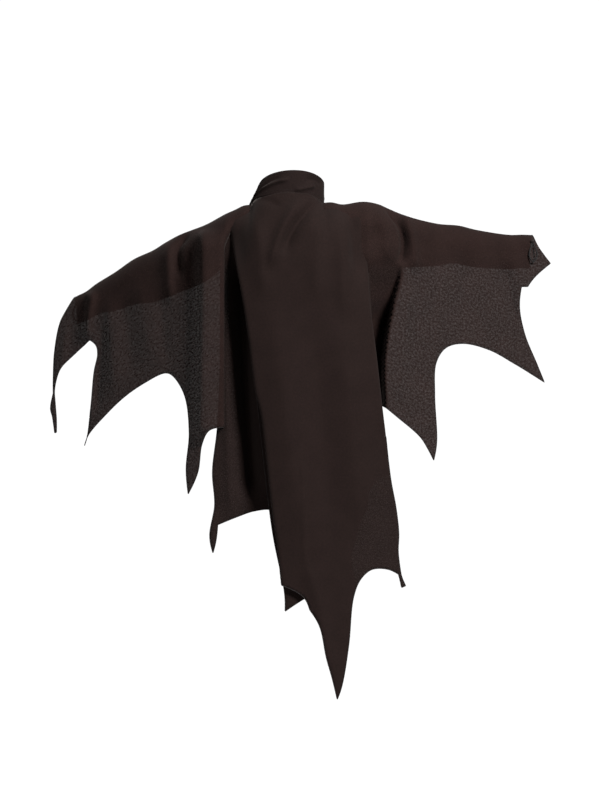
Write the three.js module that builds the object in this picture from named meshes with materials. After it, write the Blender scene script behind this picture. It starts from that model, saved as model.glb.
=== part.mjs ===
// A child's open-front bat-wing cape: a stand collar, a back panel, two side panels and two wings whose
// front edges lie over the arms. Millimetres, +Z up. The origin is the middle of the neck at the collar's
// base. The wearer faces +Y, and +X is the wearer's right. The arms are spread and point a little forward.
import * as THREE from 'three';
import { mergeVertices } from 'three/addons/utils/BufferGeometryUtils.js';

// ---- driving dimensions ---------------------------------------------------------------------------

const CLOTH = 1.2;            // thickness of a cloth solid
const SEAM_GAP = 1.5;         // space between two panels that are sewn to each other
const HEM_GAP = 0.5;          // space between a panel and the thread along its hem
const HEM_WIDTH = 3;          // width of the overlocked hem
const HEM_THICKNESS = 2;

const NECK = {
  halfWidth: 68, halfDepth: 62,        // the collar's base, an ellipse
  topHalfWidth: 65, topShift: 3,       // the collar narrows a little and leans to the right
  baseZ: 6, baseTilt: 16,              // the base is high at the back and low at the front
  topZ: 40, topTilt: 20,
  layer: 0.8, layerStep: 1.2,          // each collar layer, and the distance between two of them
  frontGap: 14,                        // degrees from the front's middle to each end of the collar
};

// One arm's cloth. All distances along X are measured outwards from the middle.
const LEFT = {
  sign: -1,
  axis: 112, axisY: -5,                // the shoulder, which the wing swings about
  capRadius: 48,
  wrist: 420, wristY: 200,
  inner: 164,                          // where the wing is sewn to the underarm panel
  topLine: [[60, 2], [120, -22], [231, -64], [302, -96], [420, -160]],
  loop: { turn: 0, outside: false },
};
const RIGHT = {
  sign: 1,
  axis: 150, axisY: -5,
  capRadius: 55,
  wrist: 485, wristY: 210,
  inner: 212,
  topLine: [[60, 4], [140, 3], [190, -9], [271, -23], [373, -32], [485, -38]],
  loop: { turn: 60, outside: true },
};
const SLEEVE = { shoulder: 46, wrist: 30 };       // radius of the cloth's bend over the arm
const FRONT_DROP = { shoulder: 52, wrist: 25 };   // straight cloth in front of the arm, below the bend

const BACK = { topY: -67, depth: 42, reach: 55 };   // how the back panel falls away from the neck
const SIDE_TOP = -120;                               // height where both side panels start
const UNDERLAY_Y = -86;                              // the layer under the pleat, ahead of the back panel

const LOOP = { diameter: 3, drop: 36, width: 14, standOff: 7, gap: 1.8 };   // elastic finger loop
const LOOP_TACK = [8, 5, 5];                                                // the block that holds it

// ---- materials ------------------------------------------------------------------------------------

const cloth = new THREE.MeshStandardMaterial({ color: 0x2e2422, roughness: 0.9, metalness: 0 });
const wingCloth = new THREE.MeshStandardMaterial({ color: 0x3d3331, roughness: 0.9, metalness: 0 });
const collarCloth = new THREE.MeshStandardMaterial({ color: 0x322a2a, roughness: 0.85, metalness: 0 });
const thread = new THREE.MeshStandardMaterial({ color: 0x1c1514, roughness: 0.8, metalness: 0 });
const elastic = new THREE.MeshStandardMaterial({ color: 0x141212, roughness: 0.7, metalness: 0 });
const stiffener = new THREE.MeshStandardMaterial({ color: 0x3a3a3c, roughness: 0.95, metalness: 0 });
const fastener = new THREE.MeshStandardMaterial({ color: 0x161416, roughness: 1, metalness: 0 });
const labelCloth = new THREE.MeshStandardMaterial({ color: 0xe4e0da, roughness: 0.7, metalness: 0 });

const cape = new THREE.Group();

// ---- helpers --------------------------------------------------------------------------------------

const degrees = THREE.MathUtils.degToRad;
const clamp01 = (t) => THREE.MathUtils.clamp(t, 0, 1);
const mix = THREE.MathUtils.lerp;

// A smooth function through the points [x, value], with x increasing.
function through(points) {
  return (x) => {
    let i = points.findIndex((point) => point[0] > x) - 1;
    if (i === -2) i = points.length - 2;
    i = Math.max(i, 0);
    const [[x0, y0], [x1, y1]] = [points[i], points[i + 1]];
    const before = points[Math.max(i - 1, 0)];
    const after = points[Math.min(i + 2, points.length - 1)];
    const slope0 = (y1 - before[1]) / (x1 - before[0]);
    const slope1 = (after[1] - y0) / (after[0] - x0);
    const t = clamp01((x - x0) / (x1 - x0));
    const w = x1 - x0;
    return y0 * (1 + 2 * t) * (1 - t) ** 2 + slope0 * w * t * (1 - t) ** 2
      + y1 * t * t * (3 - 2 * t) + slope1 * w * t * t * (t - 1);
  };
}

function add(name, geometry, material) {
  const mesh = new THREE.Mesh(geometry, material);
  mesh.name = name;
  cape.add(mesh);
  return mesh;
}

// A closed solid of even thickness along a surface. The grid runs u along +X and v downwards.
// pattern(u, v) is a place on the flat cloth, and drape(x, s) is where that place hangs.
function sheet(name, material, across, down, thickness, pattern, drape) {
  const geometry = new THREE.BoxGeometry(1, 1, 1, across, down, 1);
  geometry.deleteAttribute('normal');
  geometry.deleteAttribute('uv');
  const solid = mergeVertices(geometry);
  const place = solid.getAttribute('position');
  const step = 0.05;
  for (let i = 0; i < place.count; i += 1) {
    const [x, s] = pattern(place.getX(i) + 0.5, 0.5 - place.getY(i));
    const side = place.getZ(i);
    const alongX = drape(x + step, s).sub(drape(x - step, s));
    const alongS = drape(x, s + step).sub(drape(x, s - step));
    const normal = alongS.cross(alongX).normalize();
    const point = drape(x, s).addScaledVector(normal, side * thickness);
    place.setXYZ(i, point.x, point.y, point.z);
  }
  solid.computeVertexNormals();
  return add(name, solid, material);
}

// One side of a scallop: from a point to the level top of its arch, or back down again.
// steep is 0 where the cloth leaves the point along the chord and 1 where it leaves it straight up.
function archSide(point, top, steep, reach = 0.55) {
  const chord = [mix(point[0], top[0], 0.4), mix(point[1], top[1], 0.4)];
  const upright = [point[0], mix(point[1], top[1], 0.7)];
  return [
    new THREE.Vector2(...point),
    new THREE.Vector2(mix(chord[0], upright[0], steep), mix(chord[1], upright[1], steep)),
    new THREE.Vector2(mix(top[0], point[0], reach), top[1]),
    new THREE.Vector2(...top),
  ];
}
const rise = (point, top, steep, reach) => new THREE.CubicBezierCurve(...archSide(point, top, steep, reach));
const fall = (top, point, steep, reach) => {
  const curve = archSide(point, top, steep, reach).reverse();
  return new THREE.CubicBezierCurve(...curve);
};
const bow = (...four) => new THREE.CubicBezierCurve(...four.map((point) => new THREE.Vector2(...point)));
const straight = (a, b) => new THREE.LineCurve(new THREE.Vector2(...a), new THREE.Vector2(...b));

// The points along a hem, a step apart, with every curve's ends among them.
function hemPoints(curves, step) {
  const points = [curves[0].getPoint(0)];
  for (const curve of curves) {
    const count = Math.max(2, Math.round(curve.getLength() / step));
    points.push(...curve.getSpacedPoints(count).slice(1));
  }
  return points;
}

// How far along the hem each point is, counted mostly by its travel along X.
function hemShares(points) {
  const upright = 0.12;
  const total = [0];
  for (let i = 1; i < points.length; i += 1) {
    const dx = Math.abs(points[i].x - points[i - 1].x);
    const dz = Math.abs(points[i].y - points[i - 1].y);
    total.push(total[i - 1] + dx + upright * dz);
  }
  return total.map((t) => t / total.at(-1));
}

// The thread sewn over a hem: a narrow band just outside the hem's points.
function hemThread(name, points, toFlat, drape) {
  const last = points.length - 1;
  const outward = points.map((point, i) => {
    const tangent = points[Math.min(i + 1, last)].clone().sub(points[Math.max(i - 1, 0)]).normalize();
    return new THREE.Vector2(tangent.y, -tangent.x);
  });
  const pattern = (u, v) => {
    const i = Math.round(u * last);
    const edge = points[i].clone().addScaledVector(outward[i], HEM_GAP + v * HEM_WIDTH);
    return toFlat(edge.x, edge.y);
  };
  return sheet(name, thread, last, 1, HEM_THICKNESS, pattern, drape);
}

// ---- the collar -----------------------------------------------------------------------------------

// A place on the collar: turn is degrees from the back's middle towards +X, height is 0 at the base
// and 1 at the top edge, and out is the distance outside the middle layer.
function collarPoint(turn, height, out) {
  const a = degrees(turn);
  const width = mix(NECK.halfWidth, NECK.topHalfWidth, height) + out;
  const depth = NECK.halfDepth + out;
  const base = NECK.baseZ + NECK.baseTilt * Math.cos(a);
  const top = NECK.topZ + NECK.topTilt * Math.cos(a);
  return new THREE.Vector3(
    width * Math.sin(a) + NECK.topShift * height,
    -depth * Math.cos(a),
    mix(base, top, height),
  );
}

function collarBand(name, material, turns, heights, out, thickness, steps, rows = 2) {
  const pattern = (u, v) => [mix(turns[0], turns[1], u), mix(heights[1], heights[0], v)];
  const onCollar = (turn, height) => collarPoint(turn, height, out);
  const flatDrape = (turn, s) => onCollar(turn, -s);
  const flatPattern = (u, v) => {
    const [turn, height] = pattern(u, v);
    return [turn, -height];
  };
  return sheet(name, material, steps, rows, thickness, flatPattern, flatDrape);
}

function buildCollar() {
  const end = 180 - NECK.frontGap;
  const { layer, layerStep } = NECK;
  collarBand('collar_lining', collarCloth, [-end, end], [0.03, 0.98], -layerStep, layer, 44);
  collarBand('collar_interfacing', stiffener, [-end + 2, end - 2], [0.08, 0.93], 0, layer, 44);
  collarBand('collar_outer', collarCloth, [-end, end], [0.03, 1], layerStep, layer, 44);
  collarBand('neck_tape', thread, [-end, end], [-0.3, -0.02], -layerStep, layer, 44, 1);
}

// The closure at the front of the neck: a tab from the left end that laps over the right end.
function buildClosure() {
  const outerFace = NECK.layerStep + NECK.layer / 2;
  const patch = 1;
  const gap = 0.4;
  const loopOut = outerFace + gap + patch / 2;
  const hookOut = loopOut + patch + gap;
  const tabOut = hookOut + patch + gap;
  const right = [147, 162];
  collarBand('loop_tape', fastener, right, [0.2, 0.8], loopOut, patch, 4, 1);
  collarBand('hook_tape', fastener, right, [0.2, 0.8], hookOut, patch, 4, 1);
  collarBand('collar_tab', collarCloth, [144, 196], [0.12, 0.88], tabOut, patch, 12, 1);
}

function buildLabel() {
  const size = [28, 0.6, 36];
  const label = add('care_label', new THREE.BoxGeometry(...size), labelCloth);
  label.position.set(0, -NECK.halfDepth + 5, -2);
}

// ---- the cloth over the arms ----------------------------------------------------------------------

// How the cloth of one arm hangs. distance is measured outwards, and s along the cloth from the arm's
// top line, positive at the back and negative at the front.
function armCloth(arm) {
  const topLine = through(arm.topLine);
  const forward = (arm.wristY - arm.axisY) / (arm.wrist - arm.axis);
  const alongArm = (distance) => clamp01((distance - arm.axis) / (arm.wrist - arm.axis));
  const bend = (distance) => mix(SLEEVE.shoulder, SLEEVE.wrist, alongArm(distance));
  const frontDrop = (distance) => mix(FRONT_DROP.shoulder, FRONT_DROP.wrist, alongArm(distance));
  const armY = (distance) => arm.axisY + forward * Math.max(distance - arm.axis, 0);
  const drape = (x, s) => {
    const distance = x * arm.sign;
    const radius = bend(distance);
    const quarter = radius * Math.PI / 2;
    const turn = THREE.MathUtils.clamp(s / radius, -Math.PI / 2, Math.PI / 2);
    const hanging = Math.max(Math.abs(s) - quarter, 0);
    return new THREE.Vector3(
      x,
      armY(distance) - radius * Math.sin(turn),
      topLine(distance) - radius * (1 - Math.cos(turn)) - hanging,
    );
  };
  // The flat place of a point of the back, given by X and Z.
  const toFlat = (x, z) => {
    const distance = x * arm.sign;
    const radius = bend(distance);
    const below = topLine(distance) - z;
    const s = below < radius
      ? radius * Math.acos(1 - Math.max(below, 0) / radius)
      : radius * Math.PI / 2 + below - radius;
    return [x, s];
  };
  const frontEdge = (x) => -(bend(x * arm.sign) * Math.PI / 2 + frontDrop(x * arm.sign));
  return { drape, toFlat, frontEdge, bend, topLine };
}

// A wing: its top edge hangs in front of the arm, and its hem is the line of points at the back.
// pull(u) is how late down the wing the grid leaves its upright line for the hem's point.
function buildWing(name, arm, hem, inner, pull, down) {
  const side = armCloth(arm);
  const points = hemPoints(hem, 22);
  const shares = hemShares(points);
  const last = points.length - 1;
  const [xStart, xEnd] = arm.sign < 0 ? [-arm.wrist, -inner] : [inner, arm.wrist];
  const bendRows = 0.6;       // share of the rows that lie over the arm
  const pattern = (u, v) => {
    const i = Math.round(u * last);
    const [hemX, hemS] = side.toFlat(points[i].x, points[i].y);
    const topX = mix(xStart, xEnd, shares[i]);
    const front = side.frontEdge(topX);
    const quarter = side.bend(topX * arm.sign) * Math.PI / 2;
    const middle = Math.min(quarter, mix(front, hemS, 0.7));
    const s = v < bendRows ? mix(front, middle, v / bendRows) : mix(middle, hemS, (v - bendRows) / (1 - bendRows));
    const done = (s - front) / (hemS - front);
    return [mix(topX, hemX, done ** pull(shares[i])), s];
  };
  sheet(name, wingCloth, last, down, CLOTH, pattern, side.drape);
  hemThread(`${name}_hem`, points, side.toFlat, side.drape);
}

function buildLeftWing() {
  const tipA = [-461, -424];
  const archAB = [-386, -248];
  const tipB = [-393, -432];
  const archBC = [-227, -314];
  const tipC = [-185, -537];
  const seam = [-LEFT.inner, -468];
  const hem = [
    rise(tipA, archAB, 0.85, 0.5),
    fall(archAB, tipB, 0.2, -0.6),
    rise(tipB, archBC, 0, 0.3),
    fall(archBC, tipC, 1, 0.85),
    straight(tipC, seam),
  ];
  buildWing('left_wing', LEFT, hem, LEFT.inner, (u) => mix(0.7, 3, clamp01(u * 6)), 15);
}

function buildRightWing() {
  const inner = [183, -370];
  const tipH = [277, -475];
  const archHI = [340, -252];
  const tipI = [504, -323];
  const notch = [458, -152];
  const corner = [520, -93];
  const hem = [
    straight(inner, tipH),
    rise(tipH, archHI, 1, 0.85),
    fall(archHI, tipI, 0, 0.35),
    bow(tipI, [485, -265], [452, -215], notch),
    straight(notch, corner),
  ];
  buildWing('right_wing', RIGHT, hem, RIGHT.inner, () => 3, 15);
}

// The cloth between the left wing and its inner ridge, which hangs only at the back.
function buildUnderarmPanel() {
  const side = armCloth(LEFT);
  const left = -LEFT.inner + SEAM_GAP;
  const right = -118;
  const hem = [rise([left, -466], [right, -407], 1, 0.8)];
  const points = hemPoints(hem, 8);
  const last = points.length - 1;
  const top = (x) => side.bend(-x) * Math.PI / 2 + 6;
  const pattern = (u, v) => {
    const i = Math.round(u * last);
    const [x, s] = side.toFlat(points[i].x, points[i].y);
    return [x, mix(top(x), s, v)];
  };
  sheet('left_underarm_panel', wingCloth, last, 8, CLOTH, pattern, side.drape);
}

// The cloth over one shoulder, from the collar to a round edge inside the wing's swing.
function buildShoulder(name, arm) {
  const side = armCloth(arm);
  const neckX = 72;
  const back = SLEEVE.shoulder * 1.3;
  const outerEdge = (s) => {
    const y = SLEEVE.shoulder * Math.sin(THREE.MathUtils.clamp(s / SLEEVE.shoulder, -Math.PI / 2, Math.PI / 2));
    return arm.axis + Math.sqrt(arm.capRadius ** 2 - y ** 2);
  };
  const pattern = (u, v) => {
    const s = mix(side.frontEdge(arm.axis * arm.sign), back, v);
    const [near, far] = arm.sign < 0 ? [outerEdge(s), neckX] : [neckX, outerEdge(s)];
    return [mix(near, far, u) * arm.sign, s];
  };
  const drape = (x, s) => new THREE.Vector3(x, side.drape(arm.axis * arm.sign, s).y, side.drape(x, s).z);
  sheet(name, cloth, 8, 14, CLOTH, pattern, drape);
}

// ---- the back and the side panels -----------------------------------------------------------------

const backTop = through([[-110, -62], [-82, -46], [-56, 2], [0, 20], [56, 4], [90, -40], [148, -44]]);

function backDrape(x, z) {
  const below = Math.max(backTop(x) - z, 0);
  const neck = Math.sqrt(1 - Math.min(Math.abs(x) / NECK.halfWidth, 0.5) ** 2);
  const y = BACK.topY * neck - BACK.depth * (1 - Math.exp(-below / BACK.reach)) - 6 * (1 - neck);
  return new THREE.Vector3(x, y, z);
}

// A hanging panel between a top line and a hem, both given by X and Z.
function hangingPanel(name, material, hem, step, top, down, drape) {
  const points = hemPoints(hem, step);
  const shares = hemShares(points);
  const last = points.length - 1;
  const pattern = (u, v) => {
    const i = Math.round(u * last);
    const [topX, topZ] = top(shares[i]);
    return [mix(topX, points[i].x, v), -mix(topZ, points[i].y, v)];
  };
  const flatDrape = (x, s) => drape(x, -s);
  sheet(name, material, last, down, CLOTH, pattern, flatDrape);
  hemThread(`${name}_hem`, points, (x, z) => [x, -z], flatDrape);
}

function buildBackPanel() {
  const corner = [-10, -702];
  const nick = [38, -736];
  const tipF = [92, -906];
  const arch = [166, -670];
  const tipG = [215, -704];
  const hem = [
    straight(corner, nick),
    straight(nick, tipF),
    rise(tipF, arch, 0.85, 0.75),
    fall(arch, tipG, 0.1, 0.4),
  ];
  const top = (u) => {
    const x = mix(-110, 148, u);
    return [x, backTop(x)];
  };
  hangingPanel('back_panel', cloth, hem, 18, top, 16, backDrape);
}

// The left side panel folds forward behind the back panel's left edge, and shows below the wing.
function buildLeftSidePanel() {
  const tipD = [-138, -640];
  const arch = [-45, -563];
  const end = [-8, -585];
  const hem = [rise(tipD, arch, 0.1, 0.6), fall(arch, end, 0, 0.3)];
  const top = (u) => [mix(-100, -66, u), SIDE_TOP];
  const leftEdge = through([[-640, -138], [-480, -140], [-412, -128], [-300, -104], [SIDE_TOP, -100]]);
  const rightEdge = through([[-640, -4], [-560, -12], [-300, -50], [SIDE_TOP, -66]]);
  const drape = (x, z) => {
    const across = (x - leftEdge(z)) / (rightEdge(z) - leftEdge(z));
    return new THREE.Vector3(x, mix(-30, -78, clamp01(across)), z);
  };
  hangingPanel('left_side_panel', wingCloth, hem, 18, top, 12, drape);
}

// The pleat's under layer lies in front of the back panel's left edge, and its point shows below.
function buildPleatUnderlay() {
  const tipE = [-3, -744];
  const hem = [straight(tipE, [42, -716])];
  const top = (u) => [mix(-88, -40, u), SIDE_TOP - 10];
  const drape = (x, z) => new THREE.Vector3(x, UNDERLAY_Y, z);
  hangingPanel('pleat_underlay', cloth, hem, 12, top, 6, drape);
}

// The right side panel goes straight forward from the back panel's right edge.
function buildRightSidePanel() {
  const hem = [rise([128, -610], [150, -560], 0.3, 0.5)];
  const top = (u) => [mix(112, 142, u), SIDE_TOP];
  const drape = (x, z) => {
    const start = mix(112, 128, clamp01((SIDE_TOP - z) / 490));
    return new THREE.Vector3(x, mix(-80, -30, clamp01((x - start) / 30)), z);
  };
  hangingPanel('right_side_panel', cloth, hem, 6, top, 12, drape);
}

// ---- the finger loops -----------------------------------------------------------------------------

// An elastic loop that hangs from a stitched block at the wrist end of the arm's top line. The block is
// outside the cloth or inside it, turned that many degrees back from the top line.
function buildFingerLoop(name, arm) {
  const { turn, outside } = arm.loop;
  const side = armCloth(arm);
  const x = (arm.wrist - LOOP_TACK[0] / 2) * arm.sign;
  const a = degrees(turn);
  const onCloth = side.drape(x, SLEEVE.wrist * a);
  const off = outside ? LOOP.standOff : -LOOP.standOff;
  const tack = add(`${name}_tack`, new THREE.BoxGeometry(...LOOP_TACK), thread);
  tack.position.set(x, onCloth.y - off * Math.sin(a), onCloth.z + off * Math.cos(a));
  const top = tack.position.z - LOOP_TACK[2] / 2 - LOOP.gap;
  const hangY = outside ? onCloth.y - 4 * LOOP.diameter : onCloth.y;
  const halfWidth = LOOP.width / 2;
  const outline = [
    [-2.2, 0, 0], [-2.4, 0.1, 0.3], [-halfWidth, 0.45, 1], [-halfWidth, 0.75, 1], [0, 1, 1],
    [halfWidth, 0.75, 1], [halfWidth, 0.45, 1], [2.4, 0.1, 0.3], [2.2, 0, 0],
  ];
  const points = outline.map(([dx, drop, away]) => (
    new THREE.Vector3(x + dx, mix(tack.position.y, hangY, away), top - drop * LOOP.drop)
  ));
  const route = new THREE.CatmullRomCurve3(points, false, 'centripetal');
  const section = new THREE.Shape();
  const sides = 8;
  for (let i = 0; i < sides; i += 1) {
    const turned = 2 * Math.PI * i / sides;
    const corner = [LOOP.diameter / 2 * Math.cos(turned), LOOP.diameter / 2 * Math.sin(turned)];
    if (i === 0) section.moveTo(...corner);
    else section.lineTo(...corner);
  }
  add(name, new THREE.ExtrudeGeometry(section, { steps: 20, extrudePath: route }), elastic);
}

// ---- the cape -------------------------------------------------------------------------------------

buildCollar();
buildClosure();
buildLabel();
buildShoulder('left_shoulder', LEFT);
buildShoulder('right_shoulder', RIGHT);
buildBackPanel();
buildLeftSidePanel();
buildPleatUnderlay();
buildRightSidePanel();
buildUnderarmPanel();
buildLeftWing();
buildRightWing();
buildFingerLoop('left_finger_loop', LEFT);
buildFingerLoop('right_finger_loop', RIGHT);

export default cape;
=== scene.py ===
import math

import bmesh
import bpy
import numpy as np
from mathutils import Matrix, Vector
from mathutils.geometry import delaunay_2d_cdt


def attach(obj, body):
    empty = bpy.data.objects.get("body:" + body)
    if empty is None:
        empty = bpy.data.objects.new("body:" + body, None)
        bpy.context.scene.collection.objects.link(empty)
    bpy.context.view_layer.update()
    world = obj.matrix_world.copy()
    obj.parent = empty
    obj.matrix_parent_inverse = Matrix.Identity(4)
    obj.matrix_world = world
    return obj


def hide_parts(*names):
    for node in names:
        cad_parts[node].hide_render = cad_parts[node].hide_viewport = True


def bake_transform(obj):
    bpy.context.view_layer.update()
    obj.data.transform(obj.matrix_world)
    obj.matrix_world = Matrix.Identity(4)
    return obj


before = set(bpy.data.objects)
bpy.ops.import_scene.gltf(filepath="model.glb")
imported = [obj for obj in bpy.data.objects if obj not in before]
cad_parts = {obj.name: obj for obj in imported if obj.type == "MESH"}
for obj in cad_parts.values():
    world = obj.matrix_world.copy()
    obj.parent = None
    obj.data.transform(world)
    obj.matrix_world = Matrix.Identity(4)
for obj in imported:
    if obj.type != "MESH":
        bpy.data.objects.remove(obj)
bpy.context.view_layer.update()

# ---- driving dimensions ---------------------------------------------------------------------------

MM = 0.001
THICKNESS = 0.6          # of the woven cloth
GRID = 4.5               # distance between the cloth's points
EDGE_STEP = 3.0          # distance between the points along a cut edge
HEM_RADIUS = 0.8         # the rolled hem, and the overlock thread that is wound round it
THREAD_RADIUS = 0.3
THREAD_PITCH = 2.6
SLEEVE = (46, 30)        # radius of the cloth's bend over the arm, at the shoulder and the wrist
INNER_END = 62           # the wings' cloth starts here, under the collar
LEFT_ROLL = 8            # radius of the left wing's inner edge, where it turns forward
BACK_ROLL = 5.0          # radius of the back's left edge, where it turns under

ARMS = {
    "left": {
        "sign": -1, "axis": 112, "axis_y": -5, "wrist": 420, "wrist_y": 200,
        "top": [[60, 3], [80, 2], [97, -6], [120, -16], [152, -31], [203, -47], [231, -60], [257, -74],
                [296, -89], [334, -112], [375, -134], [396, -148], [420, -158], [465, -184]],
        "drop": [[60, 62], [114, 88], [162, 103], [231, 102], [342, 69], [374, 57], [470, 50]],
    },
    "right": {
        "sign": 1, "axis": 150, "axis_y": -5, "wrist": 485, "wrist_y": 210,
        "top": [[60, 5], [82, 8], [103, 4], [140, 9], [170, 6], [190, -1], [226, -13], [288, -24],
                [330, -25], [365, -31], [434, -37], [466, -35], [525, -35]],
        "drop": [[60, 62], [150, 112], [211, 97], [319, 70], [350, 70], [416, 65], [530, 62]],
    },
}

COLLAR = {
    "half_width": 68, "half_depth": 62, "top_half_width": 65, "top_shift": 3,
    "base": (6, 16), "top": (38, 22),       # height at the sides, and how much higher the back's middle is
    "lean": 4, "left_in": 9,                # the top edge rises to the right and comes in at the left
    "front_gap": 14, "wall": 1.3,
}

# The finger loops: where each leaves its bar tack, and how far behind it the loop hangs.
LOOPS = {
    "left": {"x": -416, "y": 197.2, "top": -168.8, "lean": 0.0},
    "right": {"x": 481, "y": 175.6, "top": -53.8, "lean": -6.0},
}
LOOP_DROP = 36
LOOP_DIAMETER = 3

CAMERA_PLACE = (0.0243, -3.6, -0.3609)     # in metres; the camera is level and looks along +Y
CAMERA_LENS = 86.6
BACKDROP_SEEN = 1.04     # the white backdrop's strength to the camera, and as light on the cape
BACKDROP_LIGHT = 0.12
FLOOR_RADIUS = 1000
FLOOR_HEIGHT = -1000


# ---- lines and meshes -----------------------------------------------------------------------------

def smooth(low, high, value):
    """0 at low, 1 at high, and an even turn between them."""
    share = np.clip((value - low) / (high - low), 0, 1)
    return share * share * (3 - 2 * share)


def curve(points, step=EDGE_STEP):
    """A smooth line through the points, with a point about every step."""
    p = np.array(points, float)
    lengths = np.linalg.norm(np.diff(p, axis=0), axis=1)
    spans = np.sqrt(lengths)[:, None]
    slopes = np.diff(p, axis=0) / spans
    tangents = np.empty_like(p)
    tangents[1:-1] = (slopes[:-1] * spans[1:] + slopes[1:] * spans[:-1]) / (spans[:-1] + spans[1:])
    tangents[0] = 1.5 * slopes[0] - 0.5 * tangents[1] if len(p) > 2 else slopes[0]
    tangents[-1] = 1.5 * slopes[-1] - 0.5 * tangents[-2] if len(p) > 2 else slopes[-1]
    parts = []
    for i, length in enumerate(lengths):
        count = max(1, round(length / step))
        t = np.linspace(0, 1, count + 1)[:-1, None]
        near = (2 * t ** 3 - 3 * t ** 2 + 1) * p[i] + (t ** 3 - 2 * t ** 2 + t) * spans[i] * tangents[i]
        far = (3 * t ** 2 - 2 * t ** 3) * p[i + 1] + (t ** 3 - t ** 2) * spans[i] * tangents[i + 1]
        parts.append(near + far)
    parts.append(p[-1:])
    return np.vstack(parts)


def function(points):
    """A smooth function through points [place, value], in order of place."""
    line = curve(points, 2)
    return lambda place: np.interp(place, line[:, 0], line[:, 1])


def joined(*runs):
    """A closed outline from smooth runs that each start where the one before ends."""
    return np.vstack([curve(run)[:-1] for run in runs])


def contains(outline, points):
    """Which of the points lie inside a closed outline."""
    inside = np.zeros(len(points), bool)
    for (ax, ay), (bx, by) in zip(outline, np.roll(outline, -1, axis=0)):
        if ay == by:
            continue
        crosses = (ay > points[:, 1]) != (by > points[:, 1])
        inside ^= crosses & (points[:, 0] < (bx - ax) * (points[:, 1] - ay) / (by - ay) + ax)
    return inside


def nearest(points, line):
    """For each point, its distance to a line, on which side it is, and how far along the line that is."""
    best = np.full(len(points), np.inf)
    side = np.zeros(len(points))
    along = np.zeros(len(points))
    lengths = np.linalg.norm(np.diff(line, axis=0), axis=1)
    starts = np.concatenate([[0], np.cumsum(lengths)])
    for i, length in enumerate(lengths):
        ray = (line[i + 1] - line[i]) / length
        offset = points - line[i]
        t = np.clip(offset @ ray, 0, length)
        distance = np.linalg.norm(offset - t[:, None] * ray, axis=1)
        closer = distance < best
        best[closer] = distance[closer]
        side[closer] = np.sign(ray[0] * offset[closer, 1] - ray[1] * offset[closer, 0])
        along[closer] = (starts[i] + t[closer]) / starts[-1]
    return best, side, along


def triangulated(outline, step=GRID):
    """The outline filled with near-equal triangles."""
    low = outline.min(axis=0)
    high = outline.max(axis=0)
    rows = []
    for i, height in enumerate(np.arange(low[1] + step / 2, high[1], step * 0.87)):
        across = np.arange(low[0] + step * (0.25 + 0.5 * (i % 2)), high[0], step)
        rows.append(np.column_stack([across, np.full_like(across, height)]))
    inner = np.vstack(rows)
    inner = inner[contains(outline, inner)]
    closed = np.vstack([outline, outline[:1]])
    inner = inner[nearest(inner, closed)[0] > 0.6 * step]
    points = np.vstack([outline, inner])
    count = len(outline)
    loop = [(i, (i + 1) % count) for i in range(count)]
    found = delaunay_2d_cdt([Vector(p) for p in points], loop, [], 1, 1e-4)
    return np.array([list(v) for v in found[0]]), np.array(found[2])


def vertex_normals(points, faces):
    """The unit normal at each point of a mesh of triangles."""
    a, b, c = points[faces[:, 0]], points[faces[:, 1]], points[faces[:, 2]]
    across = np.cross(b - a, c - a)
    normals = np.zeros_like(points)
    for corner in range(3):
        np.add.at(normals, faces[:, corner], across)
    return normals / np.maximum(np.linalg.norm(normals, axis=1), 1e-9)[:, None]


def thickened(points, faces, thickness):
    """A closed shell: both faces of the cloth and the wall along its cut edge."""
    count = len(points)
    normals = vertex_normals(points, faces)
    shell = np.vstack([points + normals * thickness / 2, points - normals * thickness / 2])
    edges = np.vstack([faces[:, [0, 1]], faces[:, [1, 2]], faces[:, [2, 0]]])
    codes = edges[:, 0] * count + edges[:, 1]
    mirrored = edges[:, 1] * count + edges[:, 0]
    rim = edges[~np.isin(codes, mirrored)]
    wall = np.column_stack([rim[:, 1], rim[:, 0], rim[:, 0] + count, rim[:, 1] + count])
    return shell, faces.tolist() + (faces[:, ::-1] + count).tolist() + wall.tolist()


def make_mesh(name, points, faces, material, flat=None, sheer_and_painted_shade=None):
    """A mesh object. flat gives each point its place on the cloth, and the last argument how see-through each
    point is, which paints shade where it is kept low.
    """
    mesh = bpy.data.meshes.new(name)
    mesh.from_pydata((np.asarray(points) * MM).tolist(), [], [list(map(int, f)) for f in faces])
    mesh.polygons.foreach_set("use_smooth", [True] * len(mesh.polygons))
    corners = np.zeros(len(mesh.loops), int)
    mesh.loops.foreach_get("vertex_index", corners)
    places = np.asarray(points)[:, [0, 2]] if flat is None else np.asarray(flat)
    layer = mesh.uv_layers.new(name="cloth")
    layer.data.foreach_set("uv", (places[corners] * MM).ravel())
    if sheer_and_painted_shade is not None:
        attribute = mesh.attributes.new("sheer_and_painted_shade", "FLOAT", "POINT")
        attribute.data.foreach_set("value", np.asarray(sheer_and_painted_shade, np.float32))
    mesh.materials.append(material)
    mesh.update()
    piece = bpy.data.objects.new(name, mesh)
    bpy.context.scene.collection.objects.link(piece)
    return piece


def frames_along(line):
    """Unit vectors along a line and across it, turning as little as they can."""
    tangents = np.gradient(line, axis=0)
    tangents /= np.linalg.norm(tangents, axis=1)[:, None]
    normal = np.cross(tangents[0], [0.3, 0.8, 0.52])
    normals = []
    for tangent in tangents:
        normal = normal - tangent * (normal @ tangent)
        normal = normal / np.linalg.norm(normal)
        normals.append(normal)
    normals = np.array(normals)
    return tangents, normals, np.cross(tangents, normals)


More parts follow.
